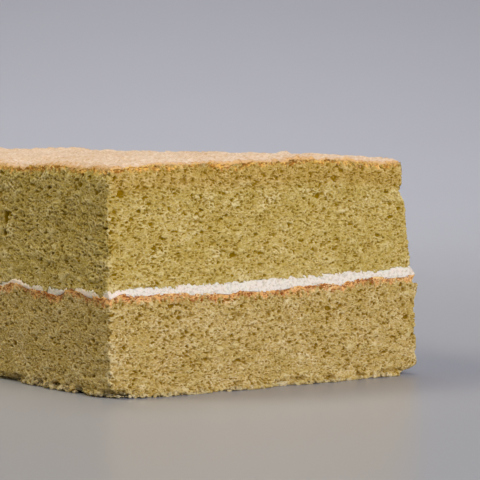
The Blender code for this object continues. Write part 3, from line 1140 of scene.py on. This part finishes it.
class MESH_OT_chiffon_upper_crust(bpy.types.Operator):
    """Builds the pale browned skin on top of the bar"""

    bl_idname = "mesh.chiffon_upper_crust"
    bl_label = "Upper Crust"
    bl_options = {"REGISTER", "UNDO"}

    def execute(self, context):
        colours = context.scene.chiffon_colours
        material = crust_material((colours.crust_pale, colours.crust_warm, colours.rim_light))
        bm = lid(cells_for(UPPER_HEIGHT, context.scene.chiffon_sizes)[:2], 2)
        mesh = piece("upper_crust", bm, material, "sponge_upper", "sponge_upper").data
        across, along, up = (vertex_numbers(mesh, "co") + 0.5).T
        x, y = plan_point(across, along, np.full(len(up), UPPER_HEIGHT))

        # The crust curls over the rim, and follows the uneven corners
        from_left = across * WIDTH
        to_side = np.minimum(across, 1 - across) * WIDTH
        to_end = np.minimum(along, 1 - along) * LENGTH
        to_edge = np.minimum(to_side, to_end)
        x -= np.sign(x) * CRUST_ROUND * np.clip(1 - to_side / CURL_REACH, 0, 1) ** 2
        y -= np.sign(y) * CRUST_ROUND * np.clip(1 - to_end / CURL_REACH, 0, 1) ** 2
        flat = np.column_stack((x, y, np.full(len(x), UPPER_HEIGHT)))
        far_corner = at_corner(flat, FAR_CORNER, "far_side")
        nose = far_corner * np.clip(1 - to_side / NOSE_REACH, 0.0, 1.0) ** 1.5
        x += 1.6 * far_corner + 0.5 * nose - at_corner(flat, NEAR_CORNER, "near_side")

        # Fine waves and a knob, and a lip all round that drops furthest at the -X side
        flat[:, 2] = 0.0
        relief = layered(flat, CRUST_RIPPLES)
        knob_x, knob_y = (v * MM for v in KNOB_PLACE)
        far = np.hypot(x + WIDTH / 2 - knob_x, y + LENGTH / 2 - knob_y)
        relief += KNOB_HEIGHT * np.exp(-((far / KNOB_RADIUS) ** 2))
        inner = np.clip(1 - to_edge / LIP_RADIUS, 0.0, 1.0)
        lip = LIP_DROP * (1 - np.sqrt(1 - inner**2))
        lip += LEFT_LIP_DROP * np.clip(1 - from_left / LEFT_LIP_REACH, 0.0, 1.0) ** 2
        z = upper_crust(x, y) + relief - lip - 0.3 * MM * inner * ripple(flat, 0.8 * MM, 304)
        z += 0.8 * far_corner - 1.2 * nose - np.where(up > 0.5, 0.0, CRUST_THICK)
        move_vertices(mesh, np.column_stack((x, y, z)))
        store(mesh, "to_edge_mm", np.minimum(to_edge, 0.45 * from_left) / MM)
        return {"FINISHED"}


class MESH_OT_chiffon_cream(bpy.types.Operator):
    """Builds the thin cream with its ragged edge"""

    bl_idname = "mesh.chiffon_cream"
    bl_label = "Cream"
    bl_options = {"REGISTER", "UNDO"}

    def execute(self, context):
        sizes = context.scene.chiffon_sizes
        colours = context.scene.chiffon_colours
        material = cream_material((colours.cream, colours.cream_shade, colours.cream_soaked))
        bm = side_band((*cells_for(0.0, sizes)[:2], CREAM_CELLS), sizes.finer)
        mesh = piece("cream", bm, material, "cream", "cream_filling").data
        unit = vertex_numbers(mesh, "co")
        side = is_side(unit)
        share = unit[:, 2] + 0.5
        points, bottom, top = band_points(
            unit, lower_crust, cream_top, LOWER_HEIGHT, CREAM_HEIGHT
        )
        thick = top - bottom
        points = worn_corners(points, side, LOWER_CORNER)
        points[:, 0] += uneven_corners(points) * side
        move_vertices(mesh, points)
        normals = vertex_numbers(mesh, "normal")
        normals[:, 2] = 0.0

        # Frayed up into the crumb, and down a little under its lower edge
        drawn_out = points * (1, 0.6, 0.3)
        frayed = 0.25 * MM * ripple(points, 0.45 * MM, 405)
        points[:, 2] += side * share * (layered(drawn_out, TUFTS) + frayed + 0.05 * MM)
        points[:, 2] -= side * (1 - share) * 0.25 * MM

        # It stands out past the cut, softly, and draws back where the crumb laps over it
        soft = 0.12 * MM * ripple(drawn_out, 1.0 * MM, 403)
        soft += 0.1 * MM * ripple(points, 0.5 * MM, 404)
        edge = np.clip(4 * np.minimum(share, 1 - share), 0.0, 1.0)
        out = sizes.cream_proud * (1.4 * edge - 0.4) + soft
        down, lapped = laps(points[:, 0], points[:, 1])
        out += np.minimum(lapped, 0.0) - 0.25 * down
        points += normals * (out * side)[:, None]
        points[:, 2] -= share * side * np.minimum(0.8 * down, thick * 0.8)
        move_vertices(mesh, points)
        store(mesh, "thin", np.clip((THIN_FROM - thick) / THIN_OVER, 0.0, 1.0))
        return {"FINISHED"}


class MESH_OT_chiffon_torn_foot(bpy.types.Operator):
    """Builds the torn crumbs that hang from the foot of the bar"""

    bl_idname = "mesh.chiffon_torn_foot"
    bl_label = "Torn Foot"
    bl_options = {"REGISTER", "UNDO"}

    def execute(self, context):
        colours = context.scene.chiffon_colours
        material = crumb_material(
            "torn_crumb",
            (colours.torn_web_and_highlight, colours.torn_middle, colours.torn_middle),
            (colours.band_web_and_highlight, colours.band_orange, colours.band_clumps_and_pit_shade),
            band=1.5,
            flatness=1.7,
            glow_depth=0.4 * MM,
        )
        draw = random.Random(7)
        bm = bmesh.new()
        self.fringe(bm, context.scene.chiffon_sizes.fringe, draw)
        self.banks(bm, draw)
        bmesh.ops.recalc_face_normals(bm, faces=bm.faces)
        mesh = piece("torn_foot", bm, material, "sponge_lower", "sponge_lower").data
        points = vertex_numbers(mesh, "co")
        bulge = layered(points, CRUMB_BULGES)
        points += vertex_numbers(mesh, "normal") * bulge[:, None]
        points[:, 2] = np.maximum(points[:, 2], CRUMB_FLOOR)
        move_vertices(mesh, points)
        store(mesh, "pit_shade_mm", np.zeros(len(points)))
        store(mesh, "below_crust_mm", np.full(len(points), FAR_BELOW_CRUST))
        # Painted highlight: the crumbs are coloured paler where their bulges stand out
        store(mesh, "proud_highlight_mm", bulge / MM)
        return {"FINISHED"}

    def fringe(self, bm, largest, draw):
        """Crumbs all round the foot, gathered in groups, rounder where the camera sees them."""
        group = bmesh.new()
        walk = 0.0
        while walk < AROUND:
            size = largest * draw.uniform(0.3, 1.0)
            shown = walk < WIDTH or walk > AROUND - SHOWN_SIDE
            spot = self.foot_place(walk)
            if walk < RECESS_END or walk > AROUND - RECESS_SIDE:
                size *= RECESS_SHARE
                spot.z += RECESS_LIFT
            gathered = noise.noise(Vector((walk / FOOT_GROUP, 0.0, 3.0))) > GROUP_LEAST
            if gathered and abs(walk - WIDTH) > FAR_CORNER_BARE:
                self.crumb(group, spot, size, 3 if shown else 1, draw)
            walk += draw.uniform(0.3, 0.9) * size
            if len(group.verts) > GROUP_VERTICES:
                self.gather(group, bm)
        self.gather(group, bm)

    def banks(self, bm, draw):
        """The rough banks of crumb at the foot of the -X side, highest in their middles."""
        group = bmesh.new()
        for place, width, height in FOOT_BANKS:
            for _ in range(round(CRUMBS_PER_MM * width)):
                off = draw.uniform(-0.5, 0.5)
                spot = self.foot_place(AROUND - (place + off * width) * MM)
                spot.z = (0.5 + draw.random() * (height - 0.5) * (1 - 4 * off * off)) * MM
                spot.x -= draw.uniform(-0.6, 0.3) * MM
                self.crumb(group, spot, draw.uniform(0.5, 1.2) * MM, 3, draw)
            self.gather(group, bm)

    def gather(self, group, bm):
        """Moves a group of crumbs into the whole."""
        mesh = bpy.data.meshes.new("crumb_group")
        group.to_mesh(mesh)
        group.clear()
        bm.from_mesh(mesh)
        bpy.data.meshes.remove(mesh)

    def foot_place(self, walk):
        """A place on the foot, from how far round the bar it is from the near corner."""
        if walk < WIDTH:
            across, along = walk / WIDTH, 0.0
        elif walk < WIDTH + LENGTH:
            across, along = 1.0, (walk - WIDTH) / LENGTH
        elif walk < 2 * WIDTH + LENGTH:
            across, along = 1 - (walk - WIDTH - LENGTH) / WIDTH, 1.0
        else:
            across, along = 0.0, 1 - (walk - 2 * WIDTH - LENGTH) / LENGTH
        x, y = plan_point(*(np.array([share]) for share in (across, along, 0.0)))
        spot = np.array([[x[0], y[0], FOOT_PLACE_HEIGHT]])
        spot = worn_corners(spot, np.array([True]), LOWER_CORNER)
        on_left = walk > 2 * WIDTH + LENGTH
        outward = Vector((-1.0, 0.0, 0.0) if on_left else (0.0, -1.0, 0.0))
        return Vector(spot[0]) + outward * foot_spread(spot)[0]

    def crumb(self, bm, place, size, rounds, draw):
        """One torn crumb: a lump pulled out of shape."""
        inward = Vector((-place.x / WIDTH, -place.y / LENGTH, 0.0)).normalized()
        middle = place + inward * draw.uniform(0.0, 0.5) * size
        if place.z < 0.5 * MM:
            middle.z = draw.uniform(0.35, 0.75) * size
        stretch = [draw.uniform(0.8, 1.5) for _ in range(2)] + [draw.uniform(0.6, 0.95)]
        shape = Matrix.Translation(middle) @ Matrix.Diagonal((*stretch, 1.0))
        bmesh.ops.create_icosphere(bm, subdivisions=rounds, radius=size / 2, matrix=shape)


class SCENE_OT_chiffon_stage(bpy.types.Operator):
    """Sets the plain grey table and backdrop, the soft studio lights and the camera"""

    bl_idname = "scene.chiffon_stage"
    bl_label = "Stage"
    bl_options = {"REGISTER", "UNDO"}

    def execute(self, context):
        self.floor(context.scene.chiffon_colours)
        self.lights(context.scene)
        self.room(context.scene)
        self.camera(context.scene)
        return {"FINISHED"}

    def floor(self, colours):
        """A table that sweeps up into its backdrop."""
        bm = bmesh.new()
        near = bm.verts.new((-TABLE_HALF, TABLE_FRONT, 0.0))
        far = bm.verts.new((-TABLE_HALF, SWEEP_START, 0.0))
        bm.edges.new((near, far))
        bmesh.ops.spin(
            bm,
            geom=[far],
            cent=(-TABLE_HALF, SWEEP_START, SWEEP_RADIUS),
            axis=(1, 0, 0),
            angle=SWEEP_TURN,
            steps=48,
            use_duplicate=False,
        )
        out = bmesh.ops.extrude_edge_only(bm, edges=bm.edges[:])["geom"]
        moved = [v for v in out if isinstance(v, bmesh.types.BMVert)]
        bmesh.ops.translate(bm, verts=moved, vec=(2 * TABLE_HALF, 0, 0))
        turn = Matrix.Rotation(-CAMERA_YAW, 3, "Z")
        bmesh.ops.rotate(bm, verts=bm.verts, cent=(0, 0, 0), matrix=turn)
        bmesh.ops.recalc_face_normals(bm, faces=bm.faces)
        mesh = bpy.data.meshes.new("table")
        bm.to_mesh(mesh)
        bm.free()
        mesh.materials.append(table_material(colours.floor))
        mesh.shade_smooth()
        table = bpy.data.objects.new("table", mesh)
        bpy.context.scene.collection.objects.link(table)

    def lights(self, scene):
        """Large soft lights: two at the front, one behind on the left, one overhead, one behind."""
        cake = (0.0, 0.0, 0.03)
        # Name, place, target, size, watts and colour
        settings = (
            ("front_softbox", (-0.35, -1.3, 0.7), cake, 0.8, 11.4, "#FFFFFF"),
            ("low_front_softbox", (0.1, -1.3, 0.35), cake, 0.6, 9.2, "#FFFFFF"),
            ("left_softbox", (-0.9, 0.5, 1.1), cake, 0.6, 12.9, "#FFF9D2"),
            ("top_softbox", (0.0, 0.0, 1.4), cake, 0.8, 3.8, "#FFFFFF"),
            ("backdrop_softbox", (0.35, 0.5, 1.3), (1.3, 1.8, 0.1), 0.8, 26.6, "#FFFFFF"),
        )
        for name, place, target, size, power, tint in settings:
            light = bpy.data.lights.new(name, "AREA")
            light.color = from_hex(tint)
            light.shape = "SQUARE"
            light.size = size
            light.energy = power
            lamp = bpy.data.objects.new(name, light)
            lamp.location = place
            aim = Vector(target) - Vector(place)
            lamp.rotation_euler = aim.to_track_quat("-Z", "Y").to_euler()
            scene.collection.objects.link(lamp)

    def room(self, scene):
        """A dim room around the table. The camera sees it brighter than it lights the cake."""
        world = bpy.data.worlds.new("studio")
        world.use_nodes = True
        tree = world.node_tree
        seen = add(tree, "LightPath", out="Is Camera Ray")
        strength = add(tree, "MapRange", {0: seen, 3: ROOM_LIGHT, 4: ROOM_SEEN})
        background = tree.nodes["Background"]
        background.inputs["Color"].default_value = (*from_hex("#DEDDDA"), 1.0)
        tree.links.new(strength, background.inputs["Strength"])
        scene.world = world

    def camera(self, scene):
        """The camera at the photograph's viewing angle."""
        camera = bpy.data.cameras.new("camera")
        camera.lens = CAMERA_LENS
        camera.sensor_width = CAMERA_SENSOR
        camera.clip_end = 50.0
        holder = bpy.data.objects.new("camera", camera)
        corner = Vector((-WIDTH / 2, -LENGTH / 2, 0.0))
        holder.location = corner + CAMERA_FROM_CORNER
        level = math.cos(CAMERA_DOWN)
        way = Vector(
            (math.sin(CAMERA_YAW) * level, math.cos(CAMERA_YAW) * level, -math.sin(CAMERA_DOWN))
        )
        holder.rotation_euler = way.to_track_quat("-Z", "Y").to_euler()
        scene.collection.objects.link(holder)
        scene.camera = holder
        scene.view_settings.view_transform = "Standard"


PIECES = (
    MESH_OT_chiffon_lower_sponge,
    MESH_OT_chiffon_cream,
    MESH_OT_chiffon_upper_sponge,
    MESH_OT_chiffon_upper_crust,
    MESH_OT_chiffon_torn_foot,
    SCENE_OT_chiffon_stage,
)


class VIEW3D_PT_chiffon_cake(bpy.types.Panel):
    """Lists the pieces of the cake with their sizes and colours"""

    bl_idname = "VIEW3D_PT_chiffon_cake"
    bl_label = "Green Tea Chiffon Cake"
    bl_space_type = "VIEW_3D"
    bl_region_type = "UI"
    bl_category = "Chiffon Cake"

    def draw(self, context):
        for group in (context.scene.chiffon_sizes, context.scene.chiffon_colours):
            column = self.layout.column()
            for name in group.__annotations__:
                column.prop(group, name)
        for operator in PIECES:
            self.layout.operator(operator.bl_idname)


CLASSES = (ChiffonSizes, ChiffonColours, *PIECES, VIEW3D_PT_chiffon_cake)


def register():
    for cls in CLASSES:
        bpy.utils.register_class(cls)
    bpy.types.Scene.chiffon_sizes = bpy.props.PointerProperty(type=ChiffonSizes)
    bpy.types.Scene.chiffon_colours = bpy.props.PointerProperty(type=ChiffonColours)


def unregister():
    del bpy.types.Scene.chiffon_colours
    del bpy.types.Scene.chiffon_sizes
    for cls in reversed(CLASSES):
        bpy.utils.unregister_class(cls)


def main():
    register()
    bpy.ops.mesh.chiffon_lower_sponge()
    bpy.ops.mesh.chiffon_cream()
    bpy.ops.mesh.chiffon_upper_sponge()
    bpy.ops.mesh.chiffon_upper_crust()
    bpy.ops.mesh.chiffon_torn_foot()
    bpy.ops.scene.chiffon_stage()


if __name__ == "__main__":
    main()
